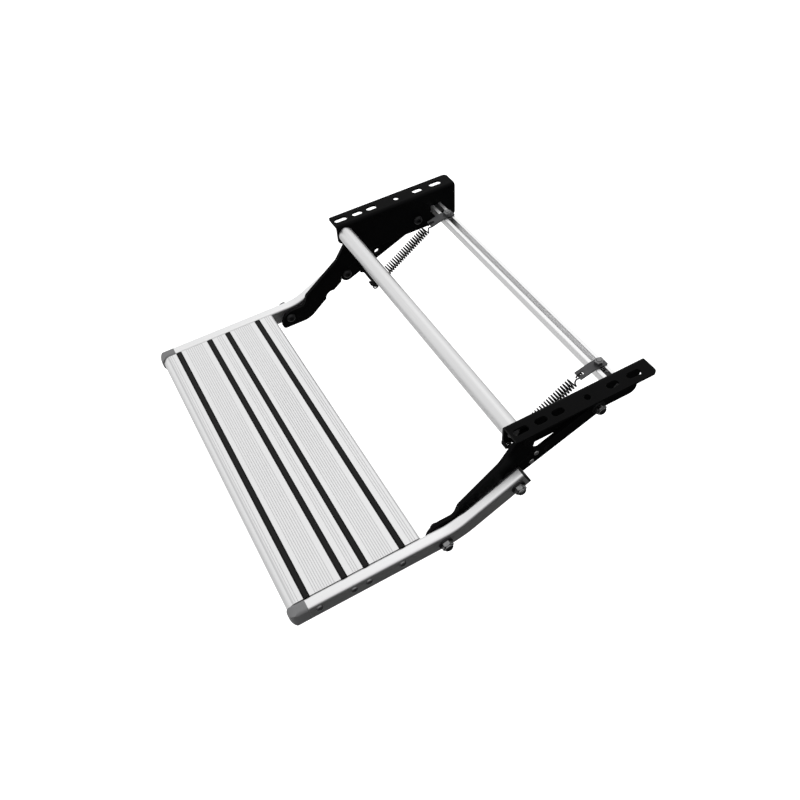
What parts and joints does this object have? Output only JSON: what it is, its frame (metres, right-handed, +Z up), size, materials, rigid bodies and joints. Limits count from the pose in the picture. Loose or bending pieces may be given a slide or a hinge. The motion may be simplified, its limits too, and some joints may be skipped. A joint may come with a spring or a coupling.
{
  "type": "folding entry step",
  "caption": "Folding entry step for a caravan door: ribbed aluminium tread on kicked-up side rails, swung out on sprung flat arms beneath slotted floor brackets.",
  "frame": {"origin": "midway between the two round locating holes, on the top face of the bracket flanges", "axes": "+X across the step, -Y outwards from the door, +Z up"},
  "size_m": [0.4906, 0.485, 0.1465],
  "materials": {
    "black_steel": "satin black powder coat",
    "anodised_aluminium": "plain anodised extrusion",
    "grip_rubber": "matt black",
    "grey_plastic": "moulded grey",
    "black_plastic": "moulded black",
    "spring_wire": "black coated wire",
    "plated_sheet": "zinc plated",
    "zinc_steel": "zinc plated"
  },
  "bodies": {
    "frame": {"bracket_left": "black_steel", "bracket_right": "black_steel", "front_tube": "anodised_aluminium", "tube_inserts": "anodised_aluminium", "tube_bolts": "zinc_steel", "rear_channel": "anodised_aluminium", "channel_end_blocks": "black_plastic", "channel_screws": "zinc_steel", "spring_clip_left": "plated_sheet", "spring_clip_right": "plated_sheet", "clip_bolts": "zinc_steel", "clip_nuts": "zinc_steel", "front_pivot_bolts": "black_steel", "front_pivot_washers": "black_steel", "front_pivot_nuts": "black_steel", "rear_pivot_bolts": "zinc_steel", "rear_pivot_washers": "zinc_steel", "rear_pivot_nuts": "zinc_steel"},
    "front_arms": {"front_arm_left": "black_steel", "front_arm_right": "black_steel"},
    "rear_arms": {"rear_arm_left": "black_steel", "rear_arm_right": "black_steel", "spring_tab_left": "black_steel", "spring_tab_right": "black_steel", "tab_rivets": "zinc_steel", "link_pivot_heads": "zinc_steel", "link_pivot_spacers": "zinc_steel"},
    "step": {"tread_plank": "anodised_aluminium", "grip_strip_1": "grip_rubber", "grip_strip_2": "grip_rubber", "grip_strip_3": "grip_rubber", "grip_strip_4": "grip_rubber", "rail_left": "anodised_aluminium", "rail_right": "anodised_aluminium", "front_cap_left": "grey_plastic", "front_cap_right": "grey_plastic", "rail_plug_left": "black_plastic", "rail_plug_right": "black_plastic", "rail_screws": "zinc_steel", "tread_pivot_bolts": "zinc_steel", "tread_pivot_spacers": "zinc_steel", "tread_pivot_washers": "zinc_steel", "tread_pivot_nuts": "zinc_steel", "link_pivot_studs": "zinc_steel", "link_pivot_washers": "zinc_steel", "link_pivot_nuts": "zinc_steel"},
    "springs": {"spring_left": "spring_wire", "spring_right": "spring_wire"}
  },
  "joints": [
    {"name": "fold", "type": "hinge", "parent": "frame", "child": "front_arms", "pos_m": [0, -0.0745, -0.033], "axis": [1, 0, 0], "range_deg": [0, 114], "stiffness_Nm_per_rad": 2.8, "springref_deg": -114.59},
    {"name": "rear_arm_swing", "type": "hinge", "parent": "frame", "child": "rear_arms", "pos_m": [0, 0.0265, -0.0402], "axis": [1, 0, 0], "range_deg": [0, 152.1]},
    {"name": "tread_swing", "type": "hinge", "parent": "front_arms", "child": "step", "pos_m": [0, -0.1955, -0.13], "axis": [1, 0, 0], "range_deg": [-107.7, 0]},
    {"name": "spring_swing", "type": "hinge", "parent": "frame", "child": "springs", "pos_m": [0, 0.03354, -0.02664], "axis": [1, 0, 0], "range_deg": [0, 141], "deforming": ["spring_left", "spring_right"]}
  ],
  "couplings": [
    {"joint": "rear_arm_swing", "follows": "fold", "ratio": 1.3336},
    {"joint": "tread_swing", "follows": "fold", "ratio": -0.94379},
    {"joint": "spring_swing", "follows": "fold", "ratio": 1.2358}
  ]
}
